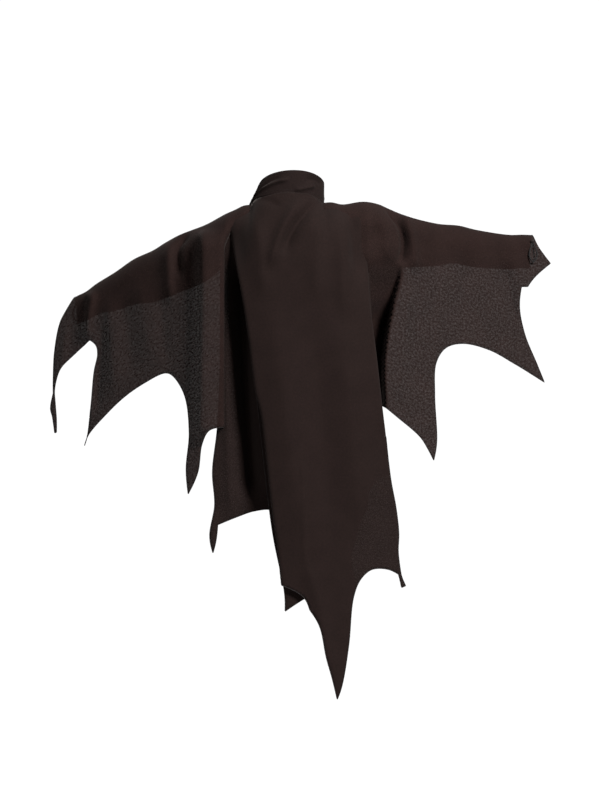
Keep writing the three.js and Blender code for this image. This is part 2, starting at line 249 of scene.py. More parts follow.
def tube(line, radius, sides):
    """Points and faces of a closed tube along a line."""
    _, normals, binormals = frames_along(line)
    turns = np.arange(sides) * 2 * math.pi / sides
    cosines = np.cos(turns)[None, :, None]
    sines = np.sin(turns)[None, :, None]
    ring = normals[:, None] * cosines + binormals[:, None] * sines
    points = (line[:, None] + radius * ring).reshape(-1, 3)
    faces = [
        [i * sides + j, i * sides + (j + 1) % sides, (i + 1) * sides + (j + 1) % sides, (i + 1) * sides + j]
        for i in range(len(line) - 1) for j in range(sides)
    ]
    last = (len(line) - 1) * sides
    return points, faces + [list(range(sides))[::-1], list(range(last, last + sides))]


def evenly(line, step):
    """The same line with a point every step."""
    lengths = np.concatenate([[0], np.cumsum(np.linalg.norm(np.diff(line, axis=0), axis=1))])
    places = np.linspace(0, lengths[-1], max(2, round(lengths[-1] / step) + 1))
    return np.column_stack([np.interp(places, lengths, line[:, i]) for i in range(3)]), places


def gathered(parts):
    """Several pieces of mesh as one list of points and one of faces."""
    points = []
    faces = []
    start = 0
    for some_points, some_faces in parts:
        points.append(some_points)
        faces.extend([[index + start for index in face] for face in some_faces])
        start += len(some_points)
    return np.vstack(points), faces


# ---- materials ------------------------------------------------------------------------------------

class Nodes:
    """A material's node tree, with short calls for the few nodes that the cloths share."""

    def __init__(self, name):
        self.material = bpy.data.materials.new(name)
        self.material.use_nodes = True
        self.tree = self.material.node_tree
        self.shader = self.tree.nodes["Principled BSDF"]
        self.place = self.add("ShaderNodeTexCoord").outputs["UV"]

    def add(self, kind, **settings):
        node = self.tree.nodes.new(kind)
        for key, value in settings.items():
            setattr(node, key, value)
        return node

    def link(self, source, target):
        self.tree.links.new(source, target)

    def noise(self, scale, detail=2.0, roughness=0.5):
        """A noise with about scale features to the metre."""
        node = self.add("ShaderNodeTexNoise")
        node.inputs["Scale"].default_value = scale
        node.inputs["Detail"].default_value = detail
        node.inputs["Roughness"].default_value = roughness
        self.link(self.place, node.inputs["Vector"])
        return node.outputs["Fac"]

    def threads(self, direction, per_metre):
        """Parallel threads: each rise of the wave is one, and each fall is one."""
        node = self.add("ShaderNodeTexWave", wave_type="BANDS", bands_direction=direction)
        node.inputs["Scale"].default_value = per_metre / 20 * math.pi
        node.inputs["Distortion"].default_value = 0.6
        node.inputs["Detail"].default_value = 1.0
        self.link(self.place, node.inputs["Vector"])
        return node.outputs["Fac"]

    def between(self, value, low, high, start=0.0, end=1.0):
        """The value, moved from the range start to end into the range low to high."""
        node = self.add("ShaderNodeMapRange")
        for key, number in zip(("From Min", "From Max", "To Min", "To Max"), (start, end, low, high)):
            node.inputs[key].default_value = number
        self.link(value, node.inputs["Value"])
        return node.outputs["Result"]

    def math(self, operation, first, second):
        node = self.add("ShaderNodeMath", operation=operation)
        for socket, value in zip(node.inputs, (first, second)):
            if isinstance(value, (int, float)):
                socket.default_value = value
            else:
                self.link(value, socket)
        return node.outputs[0]

    def colour(self, value, dark, light):
        node = self.add("ShaderNodeMix", data_type="RGBA")
        self.link(value, node.inputs["Factor"])
        node.inputs["A"].default_value = (*dark, 1)
        node.inputs["B"].default_value = (*light, 1)
        return node.outputs["Result"]

    def bump(self, height, strength, distance):
        node = self.add("ShaderNodeBump")
        node.inputs["Strength"].default_value = strength
        node.inputs["Distance"].default_value = distance
        self.link(height, node.inputs["Height"])
        self.link(node.outputs["Normal"], self.shader.inputs["Normal"])

    def sheen(self, weight, tint):
        self.shader.inputs["Sheen Weight"].default_value = weight
        self.shader.inputs["Sheen Roughness"].default_value = 0.45
        self.shader.inputs["Sheen Tint"].default_value = (*tint, 1)


def crepe(name, dark, light, sheerness, crinkle):
    """Woven crepe. A fine crinkle breaks up its surface, and its mesh lets some of the light through."""
    n = Nodes(name)
    grain = n.noise(270, 4, 0.75)
    patches = n.noise(28, 2)
    weave = n.math("MULTIPLY", n.threads("X", 1600), n.threads("Y", 1400))
    tone = n.math("ADD", n.math("MULTIPLY", grain, 0.8), n.math("MULTIPLY", patches, 0.2))
    n.link(n.colour(n.between(tone, 0, 1, 0.38, 0.62), dark, light), n.shader.inputs["Base Color"])
    n.link(n.between(grain, 0.82, 0.96), n.shader.inputs["Roughness"])
    n.bump(n.math("ADD", grain, n.math("MULTIPLY", weave, 0.35)), crinkle, 0.0005)
    n.sheen(0.03, (0.75, 0.66, 0.62))
    n.shader.inputs["Specular IOR Level"].default_value = 0.08
    if sheerness:
        openness = n.between(grain, 0.2, 1.8, 0.38, 0.62)
        # This attribute is partly the cloth's real openness and partly painted shade: pieces set it low where
        # shade falls.
        shown = n.add("ShaderNodeAttribute", attribute_name="sheer_and_painted_shade").outputs["Fac"]
        hole = n.math("MULTIPLY", n.math("MULTIPLY", openness, shown), sheerness)
        n.link(n.math("SUBTRACT", 1.0, hole), n.shader.inputs["Alpha"])
    return n.material


def twisted_thread(name, dark, light):
    """Polyester thread, with its ply in the colour and the bump."""
    n = Nodes(name)
    ply = n.threads("DIAGONAL", 2200)
    n.link(n.colour(n.math("MULTIPLY", ply, n.noise(500)), dark, light), n.shader.inputs["Base Color"])
    n.link(n.between(ply, 0.55, 0.8), n.shader.inputs["Roughness"])
    n.bump(ply, 0.5, 0.0002)
    n.sheen(0.02, (0.8, 0.75, 0.7))
    n.shader.inputs["Specular IOR Level"].default_value = 0.12
    return n.material


def tape_pile(name, dark, light, scale):
    """The hooks or loops of a touch fastener."""
    n = Nodes(name)
    pile = n.noise(scale, 4, 0.7)
    rows = n.threads("X", 700)
    n.link(n.colour(pile, dark, light), n.shader.inputs["Base Color"])
    n.link(n.between(pile, 0.6, 0.95), n.shader.inputs["Roughness"])
    n.bump(n.math("MULTIPLY", pile, rows), 1.0, 0.001)
    n.sheen(0.2, (0.6, 0.6, 0.62))
    return n.material


def satin(name, dark, light):
    """The label's and the tape's smooth ribbed ribbon."""
    n = Nodes(name)
    ribs = n.threads("Y", 1200)
    n.link(n.colour(n.math("MULTIPLY", ribs, n.noise(60)), dark, light), n.shader.inputs["Base Color"])
    n.link(n.between(ribs, 0.35, 0.5), n.shader.inputs["Roughness"])
    n.bump(ribs, 0.3, 0.0002)
    n.sheen(0.15, (0.9, 0.88, 0.85))
    return n.material


def paper_floor(name):
    """A matt studio floor with a faint grain."""
    n = Nodes(name)
    grain = n.noise(6, 3)
    n.link(n.colour(grain, (0.97, 0.97, 0.97), (0.99, 0.99, 0.99)), n.shader.inputs["Base Color"])
    n.link(n.between(grain, 0.85, 0.95), n.shader.inputs["Roughness"])
    n.bump(grain, 0.02, 0.001)
    return n.material


MATERIALS = {
    "back": crepe("back_crepe", (0.0058, 0.0029, 0.0024), (0.0092, 0.0049, 0.0042), 0.075, 0.25),
    "wing": crepe("wing_crepe", (0.0068, 0.0032, 0.0026), (0.0132, 0.0066, 0.0056), 0.095, 0.3),
    "collar": crepe("collar_crepe", (0.0058, 0.0030, 0.0026), (0.0092, 0.0052, 0.0046), 0, 0.35),
    "hem": twisted_thread("hem_thread", (0.008, 0.006, 0.006), (0.022, 0.017, 0.016)),
    "elastic": twisted_thread("braided_elastic", (0.004, 0.004, 0.004), (0.020, 0.017, 0.017)),
    "hook": tape_pile("hook_pile", (0.006, 0.006, 0.007), (0.030, 0.030, 0.032), 1400),
    "loop": tape_pile("loop_pile", (0.010, 0.009, 0.010), (0.045, 0.042, 0.045), 700),
    "label": satin("label_satin", (0.55, 0.54, 0.52), (0.80, 0.79, 0.77)),
    "tape": satin("neck_ribbon", (0.012, 0.011, 0.011), (0.045, 0.040, 0.040)),
    "floor": paper_floor("floor_paper"),
}


# ---- how the cloth lies ---------------------------------------------------------------------------

def arm_cloth(side):
    """The drape of a wing: a place (x, s) lies s behind the arm's top line, measured over the cloth."""
    arm = ARMS[side]
    top = function(arm["top"])
    drop = function(arm["drop"])
    forward = (arm["wrist_y"] - arm["axis_y"]) / (arm["wrist"] - arm["axis"])

    def bend(distance):
        """The radius of the cloth's bend over the arm."""
        share = np.clip((distance - arm["axis"]) / (arm["wrist"] - arm["axis"]), 0, 1)
        return SLEEVE[0] + (SLEEVE[1] - SLEEVE[0]) * share

    def drape(x, s):
        """Where the place is, and which way is out from the cloth there."""
        distance = x * arm["sign"]
        radius = bend(distance)
        turn = np.clip(s / radius, -math.pi / 2, math.pi / 2)
        hanging = np.maximum(np.abs(s) - radius * math.pi / 2, 0)
        arm_y = arm["axis_y"] + forward * np.maximum(distance - arm["axis"], 0)
        place = np.column_stack([
            x,
            arm_y - radius * np.sin(turn),
            top(distance) - radius * (1 - np.cos(turn)) - hanging,
        ])
        outwards = np.column_stack([np.zeros_like(x), -np.sin(turn), np.cos(turn)])
        return place, outwards

    def to_flat(points):
        """Where points of the back, given by x and z, lie on the flat cloth."""
        x, z = np.array(points, float).T
        radius = bend(x * arm["sign"])
        below = np.maximum(top(x * arm["sign"]) - z, 0)
        over = radius * np.arccos(1 - np.minimum(below, radius) / radius)
        return np.column_stack([x, over + np.maximum(below - radius, 0)])

    def front_edge(x):
        """How far in front of the top line the cloth ends (a negative s)."""
        distance = x * arm["sign"]
        radius = bend(distance)
        return -(radius * math.pi / 2 + drop(distance) - radius)

    return drape, to_flat, front_edge


def back_top(x):
    """The height of the back's upper edge: the collar's seam, and the shoulders beside it."""
    return np.interp(x, *np.array([
        [-110, -14], [-97, -9], [-69, 1], [-60, 10], [-42, 17], [0, 23], [42, 20], [60, 11], [69, 4], [84, 6],
        [103, 1], [140, 5], [160, 3],
    ]).T)


def back_drape(x, z):
    """The back hangs away from the neck and the shoulders, and is fullest along its middle."""
    below = np.maximum(back_top(x) - z, 0)
    neck = COLLAR["half_depth"] * np.sqrt(np.clip(1 - (x / 70) ** 2, 0, 1))
    top_y = -np.maximum(neck, 14)
    full_y = -107 + 20 * ((x - 20) / 125) ** 2
    reach = 38 + 17 * np.clip(1 - np.abs(x) / 70, 0, 1)
    hanging_y = top_y + (full_y - top_y) * (1 - np.exp(-below / reach))
    bend = np.minimum(below, SLEEVE[0]) / SLEEVE[0]
    shoulder_y = -5 - SLEEVE[0] * np.sqrt(1 - (1 - bend) ** 2)
    left = smooth(-66, -100, x) * smooth(-150, -50, z)
    right = smooth(104, 140, x) * smooth(-190, -70, z)
    sunk = 8 * smooth(-92, -106, x) + 8 * smooth(134, 150, x) - 1.5
    near = np.maximum(left, right)
    return hanging_y + (shoulder_y + sunk - hanging_y) * near


def crease(places, line, height, before, after, fade=0.15):
    """A fold along a line: its lift at each place, with its reach on the two sides of the line."""
    distance, side, along = nearest(places, curve(line, 6))
    reach = np.where(side > 0, before, after)
    ends = smooth(0, fade, along) * smooth(0, fade, 1 - along)
    return height * ends * np.exp(-(distance / reach) ** 1.6)


def creases(places, folds):
    """The lift of several folds together. Each fold is what crease() takes after the places."""
    return sum(crease(places, *fold) for fold in folds)


# ---- cloth pieces ---------------------------------------------------------------------------------

def cloth(name, outline, drape, sheer_and_painted_shade, material):
    """A cut sheet, draped and given its thickness, with its flat size and area."""
    flat, faces = triangulated(outline)
    points, faces = thickened(drape(flat), faces, THICKNESS)
    twice = np.vstack([flat, flat])
    piece = make_mesh(name, points, faces, MATERIALS[material], twice, np.tile(sheer_and_painted_shade(flat), 2))
    following = np.roll(outline, -1, axis=0)
    area = abs(np.sum(outline[:, 0] * following[:, 1] - following[:, 0] * outline[:, 1])) / 2
    size = np.ptp(outline, axis=0)
    return piece, tuple(size * MM), area * MM * MM


def hem(name, line, drape):
    """The rolled edge along a cut line, and the overlock thread wound round it."""
    rolled, _ = evenly(drape(line), 2.5)
    fine, places = evenly(rolled, THREAD_PITCH / 5)
    _, normals, binormals = frames_along(fine)
    turn = places * 2 * math.pi / THREAD_PITCH
    wound = fine + (HEM_RADIUS + THREAD_RADIUS * 0.4) * (
        normals * np.cos(turn)[:, None] + binormals * np.sin(turn)[:, None]
    )
    points, faces = gathered([tube(rolled, HEM_RADIUS, 8), tube(wound, THREAD_RADIUS, 3)])
    piece = make_mesh(name, points, faces, MATERIALS["hem"])
    return piece


def stitches(name, line, length=2.4, gap=1.0, radius=0.28):
    """A row of single stitches along a line on a surface."""
    fine, places = evenly(line, 0.4)
    parts = []
    for start in np.arange(0, places[-1] - length, length + gap):
        run = np.column_stack([
            np.interp(np.linspace(start, start + length, 5), places, fine[:, axis]) for axis in range(3)
        ])
        parts.append(tube(run, radius, 5))
    points, faces = gathered(parts)
    piece = make_mesh(name, points, faces, MATERIALS["hem"])
    return piece


def left_wing():
    """The left wing, its shoulder and the ridge beside the back, in one cloth."""
    drape_arm, to_flat, front_edge = arm_cloth("left")
    hem_runs = [
        [[-116, -411], [-143, -417], [-158, -443], [-166, -495], [-185, -537]],
        [[-185, -537], [-189, -490], [-183, -420], [-193, -350], [-217, -314], [-231, -310], [-273, -329],
         [-313, -355], [-350, -388], [-387, -428], [-397, -450]],
        [[-397, -450], [-390, -430], [-383, -375], [-376, -305], [-369, -272], [-372, -255], [-385, -244]],
        [[-385, -244], [-416, -269], [-448, -300], [-459, -330], [-461, -348]],
        [[-461, -348], [-459, -374], [-457, -400], [-457, -425]],
        [[-457, -425], [-461, -426]],
        [[-461, -426], [-466, -394], [-470, -378], [-464, -348]],
        [[-464, -348], [-464, -320], [-461, -264], [-448, -205], [-420, -159]],
    ]
    hem_line = to_flat(np.vstack([curve(run)[:-1] for run in hem_runs] + [[-420, -158.1]]))
    top_x = np.linspace(-419, -INNER_END, 90)
    front = np.column_stack([top_x, front_edge(top_x)])
    wrist = curve([[-420, 0], [-419, front[0, 1]]])[:-1]
    down = to_flat(curve([[-116, -62], [-114, -240], [-116, -411]]))
    down[:, 0] += 22     # the strip that turns forward
    inner = np.vstack([curve([[-INNER_END, front[-1, 1]], [-INNER_END, 34]])[:-1],
                       curve([[-INNER_END, 34], [-90, 60], down[0]])[:-1]])
    outline = np.vstack([hem_line[:-1], wrist, front[:-1], inner, down[:-1],
                         curve([down[-1], hem_line[0]])[:-1]])
    folds = [
        ([[-156, -38], [-155, -150], [-157, -300], [-160, -450]], 34, 34, 13, 0.1),
        ([[-178, -50], [-179, -200], [-182, -420]], -5, 9, 12, 0.15),
        ([[-178, -34], [-205, -72], [-206, -106], [-194, -140]], -15, 9, 5, 0.25),
        ([[-222, -52], [-224, -100], [-216, -190]], 11, 10, 14, 0.3),
        ([[-240, -140], [-236, -220], [-222, -310]], -4, 14, 12, 0.3),
        ([[-290, -100], [-274, -200], [-256, -310]], 6, 24, 20, 0.3),
        ([[-318, -150], [-306, -230], [-296, -330]], -4, 15, 16, 0.3),
        ([[-346, -140], [-340, -250], [-332, -370]], 8, 18, 15, 0.3),
        ([[-352, -190], [-362, -280], [-374, -410]], -10, 12, 11, 0.3),
        ([[-377, -146], [-384, -190], [-391, -245]], 13, 9, 14, 0.2),
        ([[-430, -190], [-440, -250], [-455, -380]], 7, 12, 12, 0.3),
    ]

    def drape(flat):
        over = np.maximum(flat[:, 0] + 116 + LEFT_ROLL, 0)
        turn = np.minimum(over / LEFT_ROLL, math.pi / 2)
        hangs = smooth(40, 100, flat[:, 1])
        x = flat[:, 0] + hangs * (LEFT_ROLL * np.sin(turn) - over)
        points, outwards = drape_arm(x, flat[:, 1])
        lift = creases(points[:, [0, 2]], folds) * smooth(0, 30, flat[:, 1])
        beyond_wrist = smooth(-386, -400, flat[:, 0]) * smooth(10, 50, flat[:, 1])
        points += outwards * (lift - 9 * beyond_wrist)[:, None]
        points[:, 1] += hangs * (LEFT_ROLL * (1 - np.cos(turn)) + over - LEFT_ROLL * turn)
        return points

    def sheer_and_painted_shade(flat):
        return np.full(len(flat), 0.95)

    piece, size, area = cloth("left_wing_cloth", outline, drape, sheer_and_painted_shade, "wing")
    edge_hem = hem("left_wing_edge", hem_line, drape)
    front_hem = hem("left_wing_front_edge", np.vstack([wrist, front]), drape)
    finish_wing(piece, "left", [edge_hem, front_hem],
                ["left_wing", "left_underarm_panel", "left_shoulder"])


def right_wing():
    """The right wing and its shoulder. Beside the back, its cloth is folded forward, away from the light."""
    drape_arm, to_flat, front_edge = arm_cloth("right")
    hem_runs = [
        [[176, -369], [205, -392], [250, -430], [266, -454], [277, -475]],
        [[277, -475], [283, -440], [279, -350], [282, -290], [301, -262], [335, -253], [389, -264],
         [440, -289], [506, -326]],
        [[506, -326], [490, -290], [464, -232], [453, -180], [456, -140]],
        [[456, -140], [470, -139]],
        [[470, -139], [486, -119], [519, -91]],
        [[519, -91], [505, -75], [492, -58], [483, -35.6]],
    ]
    hem_line = to_flat(np.vstack([curve(run)[:-1] for run in hem_runs] + [[483, -35.1]]))
    top_x = np.linspace(482, INNER_END, 100)
    front = np.column_stack([top_x, front_edge(top_x)])
    wrist = curve([[483, 0], front[0]])[:-1]
    down = to_flat(curve([[128, -62], [136, -200], [150, -320], [164, -374]]))
    inner = np.vstack([curve([front[-1], [INNER_END, 34]])[:-1],
                       curve([[INNER_END, 34], [95, 60], down[0]])[:-1]])
    outline = np.vstack([hem_line[:-1], wrist, front[:-1], inner, down[:-1],
                         curve([down[-1], hem_line[0]])[:-1]])
    folds = [
        ([[180, 2], [208, -32], [216, -72], [206, -112]], -19, 9, 5, 0.2),
        ([[212, -6], [228, -34], [238, -70], [238, -130]], 12, 9, 12, 0.25),
        ([[162, -4], [182, -46], [188, -112]], 13, 15, 15, 0.3),
        ([[232, -130], [218, -230], [206, -380]], 11, 14, 14, 0.2),
        ([[262, -60], [250, -200], [240, -420]], -9, 16, 15, 0.3),
        ([[298, -50], [288, -160], [274, -300]], 9, 18, 17, 0.3),
        ([[345, -60], [340, -150], [336, -260]], -9, 17, 17, 0.3),
        ([[386, -60], [390, -150], [398, -270]], 9, 17, 15, 0.3),
        ([[416, -80], [432, -150], [452, -230]], -12, 11, 11, 0.3),
        ([[440, -60], [454, -120], [474, -240]], 9, 12, 12, 0.3),
        ([[462, -45], [470, -80], [478, -120]], -4, 8, 8, 0.3),
    ]
    fold_edge = function([[-375, 184], [-361, 184], [-302, 182], [-242, 188], [-182, 200], [-118, 215],
                          [-60, 205]])

    def drape(flat):
        points, outwards = drape_arm(flat[:, 0], flat[:, 1])
        lift = creases(points[:, [0, 2]], folds) * smooth(0, 30, flat[:, 1])
        behind = smooth(0, 7, fold_edge(points[:, 2]) - points[:, 0]) * smooth(-92, -165, points[:, 2])
        points += outwards * (lift - (40 + 40 * smooth(-150, -220, points[:, 2])) * behind)[:, None]
        return points

    # Painted shade: beyond the fold edge, where the cloth turns in, it lets less light through, and below the
    # diagonal none, which paints the recess's shade.
    def sheer_and_painted_shade(flat):
        points, _ = drape_arm(flat[:, 0], flat[:, 1])
        diagonal = (points[:, 0] - 161) * 80 / 52 - 202
        inside = smooth(4, 0, points[:, 0] - fold_edge(points[:, 2]))
        return (1.2 - 0.85 * inside) * (1 - inside * smooth(3, -3, points[:, 2] - diagonal))

    piece, size, area = cloth("right_wing_cloth", outline, drape, sheer_and_painted_shade, "wing")
    edge_hem = hem("right_wing_edge", hem_line, drape)
    front_hem = hem("right_wing_front_edge", np.vstack([wrist, front]), drape)
    finish_wing(piece, "right", [edge_hem, front_hem],
                ["right_wing", "right_shoulder"])


def finish_wing(piece, side, hems, nodes):
    """Hides the frame's parts that the wing stands for and its hem, and fixes the pieces' places into their
    meshes.
    """
    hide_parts(*nodes)
    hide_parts(f"{side}_wing_hem")
    for part in [piece, *hems]:
        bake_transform(part)


def back_panel():
    """The back, with its left edge turned under and its right edge turned forward."""
    left_edge = function([[-760, 0], [-697, -10], [-630, -17], [-559, -27], [-479, -36], [-381, -48],
                          [-346, -57], [-230, -72], [-128, -90], [-70, -101], [-32, -109], [20, -122]])
    right_edge = function([[-720, 216], [-671, 210], [-582, 202], [-537, 199], [-506, 191], [-428, 182],
                           [-370, 175], [-274, 164], [-187, 153], [-128, 150], [-70, 145], [-41, 145],
                           [-6, 141], [10, 140]])
    heights = np.linspace(-34, -697, 150)
    under = smooth(-34, -110, heights) * (math.pi * BACK_ROLL + 9)
    left_line = np.column_stack([left_edge(heights) - under, heights])
    sides = np.linspace(-428, -8, 100)
    turned = smooth(-428, -360, sides) * smooth(-4, -50, sides) * 24
    right_line = np.column_stack([right_edge(sides) + turned, sides])
    hem_runs = [
        [[-10, -697], [30, -718], [42, -742]],
        [[42, -742], [60, -772], [72, -828], [83, -868], [92, -906]],
        [[92, -906], [101, -880], [113, -808], [122, -720], [135, -688], [155, -671], [184, -671],
         [205, -681]],
        [[205, -681], [208, -692], [211, -706]],
        [[211, -706], [219, -703]],
        [[219, -703], [213, -690], [210, -680]],
        [[210, -680], [205, -640], [206, -606], [201, -560], [191, -506], [182, -428]],
    ]
    hem_line = np.vstack([curve(run)[:-1] for run in hem_runs] + [[right_line[0]]])
    top_x = np.linspace(141, -100, 90)
    top_line = np.column_stack([top_x, back_top(top_x)])
    outline = np.vstack([
        hem_line[:-1], right_line[:-1], curve([right_line[-1], top_line[0]])[:-1], top_line[:-1],
        curve([top_line[-1], left_line[0]])[:-1], left_line[:-1],
        curve([left_line[-1], hem_line[0]])[:-1],
    ])
    folds = [
        ([[58, 16], [40, -12], [14, -46], [-10, -100]], -14, 10, 9, 0.25),
        ([[32, 18], [12, -12], [-8, -50], [-34, -130]], 12, 14, 10, 0.25),
        ([[-58, 8], [-36, 6], [-8, -10]], -5, 7, 6, 0.3),
        ([[-70, -6], [-52, -60], [-44, -190]], 7, 18, 18, 0.3),
        ([[70, 2], [60, -60], [52, -200]], 6, 18, 18, 0.3),
        ([[94, 0], [100, -70], [104, -220]], 7, 15, 15, 0.3),
        ([[112, 2], [120, -50], [126, -140]], -8, 9, 9, 0.3),
        ([[30, -470], [31, -560], [33, -665]], 2.2, 4, 4, 0.1),
        ([[-30, -150], [0, -400], [40, -700]], 9, 40, 40, 0.3),
        ([[40, -150], [64, -400], [90, -700]], -7, 34, 34, 0.3),
        ([[100, -200], [120, -420], [140, -640]], 8, 34, 30, 0.3),
        ([[160, -330], [176, -480], [188, -660]], -6, 16, 16, 0.3),
        ([[30, -640], [60, -740], [84, -880]], 6, 16, 16, 0.2),
    ]

    def drape(flat):
        u, z = flat.T
        inner = left_edge(z) + BACK_ROLL
        turn = np.clip((inner - u) / BACK_ROLL, 0, math.pi)
        past = np.maximum((inner - u) / BACK_ROLL - math.pi, 0) * BACK_ROLL
        right_roll = 0.5 + 8 * smooth(-428, -360, z)
        outer = right_edge(z) - right_roll
        bend = np.clip((u - outer) / right_roll, 0, math.pi / 2)
        ahead = np.maximum((u - outer) / right_roll - math.pi / 2, 0) * right_roll
        flatter = smooth(-420, -440, z)
        x = np.clip(u, inner, outer) - BACK_ROLL * np.sin(turn) + past + right_roll * np.sin(bend)
        x = x + flatter * np.maximum(u - outer - right_roll * np.sin(bend), 0)
        lift = creases(np.column_stack([x, z]), folds)
        y = back_drape(x, z) - lift + BACK_ROLL * (1 - np.cos(turn))
        y = y + (1 - flatter) * (right_roll * (1 - np.cos(bend)) + ahead)
        return np.column_stack([x, y, z])

    # Painted shade: the back lets light through only at its lower right, beyond this line and below z = -500;
    # elsewhere it is opaque, dark as if a body stood behind it.
    painted_shade_edge = function([[-720, 138], [-690, 122], [-645, 115], [-600, 128], [-560, 140], [-520, 152],
                       [-500, 175], [-490, 215]])

    def sheer_and_painted_shade(flat):
        return 0.65 * smooth(0, 5, flat[:, 0] - painted_shade_edge(flat[:, 1])) * smooth(-494, -506, flat[:, 1])

    piece, size, area = cloth("back_cloth", outline, drape, sheer_and_painted_shade, "back")
    edge_hem = hem("back_edge", hem_line, drape)
    fold_line = hem("back_fold_edge", left_line, drape)
    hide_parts("back_panel")
    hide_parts("back_panel_hem")
    for part in (piece, edge_hem, fold_line):
        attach(part, "cape")


def hanging_sheet(name, node, outline_runs, hem_runs, depth, sheer_and_painted_shade, material):
    """A panel that hangs in front of the back. depth(x, z) is where it hangs."""
    outline = joined(*outline_runs)
    hem_line = np.vstack([curve(run) for run in hem_runs])

    def drape(flat):
        return np.column_stack([flat[:, 0], depth(flat[:, 0], flat[:, 1]), flat[:, 1]])

    piece, size, area = cloth(name, outline, drape, sheer_and_painted_shade, material)
    edge = hem(f"{name}_edge", hem_line, drape)
    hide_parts(node)
    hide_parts(f"{node}_hem")
    for part in (piece, edge):
        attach(part, "cape")


def left_side():
    """The left side panel, which shows below the wing, with a deep fold beside the back."""
    left = [[-124, -52], [-124, -300], [-129, -413], [-138, -494], [-134, -556], [-143, -612],
            [-137, -645]]
    tail = [[-137, -645], [-131, -620], [-128, -592]]
    lower = [[-128, -592], [-92, -577], [-60, -566], [-27, -564], [-8, -580]]
    right = [[-8, -580], [-16, -520], [-45, -320], [-66, -52]]
    left_edge = function([[z, x] for x, z in reversed(left)])
    right_edge = function([[z, x] for x, z in right])
    wedge = function([[-700, -60], [-553, -72], [-503, -84], [-418, -90], [-236, -106], [-112, -109]])

    def depth(x, z):
        across = np.clip((x - left_edge(z)) / (right_edge(z) - left_edge(z)), 0, 1)
        folds = creases(np.column_stack([x, z]), [
            ([[-86, -90], [-78, -300], [-62, -560]], -34, 16, 16, 0.12),
            ([[-112, -200], [-112, -350], [-104, -600]], 5, 9, 9, 0.2),
            ([[-60, -250], [-48, -420], [-34, -560]], 8, 14, 14, 0.2),
            ([[-132, -560], [-138, -600], [-140, -640]], 4, 4, 4, 0.2),
        ])
        return -34 - 18 * across - folds

    # Painted shade: the panel lets light through only left of the wedge line, and there at 0.55; right of it,
    # beside the back, it is opaque, which paints the shade there.
    def sheer_and_painted_shade(flat):
        return 0.55 * smooth(4, -4, flat[:, 0] - wedge(flat[:, 1]))

    hanging_sheet("left_side_cloth", "left_side_panel",
                  [left, tail, lower, right, [right[-1], left[0]]],
                  [left[:-1] + tail[:1], tail, lower], depth, sheer_and_painted_shade, "back")


def right_side():
    """The right side panel, of which only a sliver shows."""
    left = [[106, -52], [110, -300], [118, -480], [128, -612]]
    lower = [[128, -612], [136, -585], [150, -562]]
    right = [[150, -562], [158, -420], [160, -300], [150, -52]]

    def depth(x, z):
        folds = creases(np.column_stack([x, z]), [
            ([[132, -130], [136, -300], [140, -560]], 8, 12, 12, 0.2),
        ])
        return -48 + 0.35 * (x - 108) - folds

    def sheer_and_painted_shade(flat):
        return np.zeros(len(flat))

    hanging_sheet("right_side_cloth", "right_side_panel",
                  [left, lower, right, [right[-1], left[0]]], [left, lower], depth, sheer_and_painted_shade, "back")


def pleat_underlay():
    """The layer in front of the back's left edge. Its point shows below the back."""
    left = [[-88, -124], [-58, -330], [-26, -600], [-4, -712], [-3, -746]]
    lower = [[-3, -746], [22, -729], [44, -716]]
    right = [[44, -716], [20, -500], [-10, -300], [-40, -124]]

    def depth(x, z):
        return back_drape(x, z) + 12

    def sheer_and_painted_shade(flat):
        return np.zeros(len(flat))

    hanging_sheet("pleat_underlay_cloth", "pleat_underlay",
                  [left, lower, right, [right[-1], left[0]]], [left, lower], depth, sheer_and_painted_shade, "back")


# ---- the collar -----------------------------------------------------------------------------------

def collar_place(turn, height, out):
    """A place on the collar: turn in degrees from the back's middle towards +X, height from 0 to 1."""
    a = np.radians(turn)
    width = COLLAR["half_width"] + (COLLAR["top_half_width"] - COLLAR["half_width"]) * height + out
    base = COLLAR["base"][0] + COLLAR["base"][1] * np.cos(a)
    top = COLLAR["top"][0] + COLLAR["top"][1] * np.cos(a) + COLLAR["lean"] * np.sin(a)
    pulled_in = COLLAR["left_in"] * np.clip(-np.sin(a), 0, 1) ** 2 * height
    return np.stack([
        width * np.sin(a) + COLLAR["top_shift"] * height + pulled_in,
        -(COLLAR["half_depth"] + out) * np.cos(a),
        base + (top - base) * height,
    ], axis=-1)


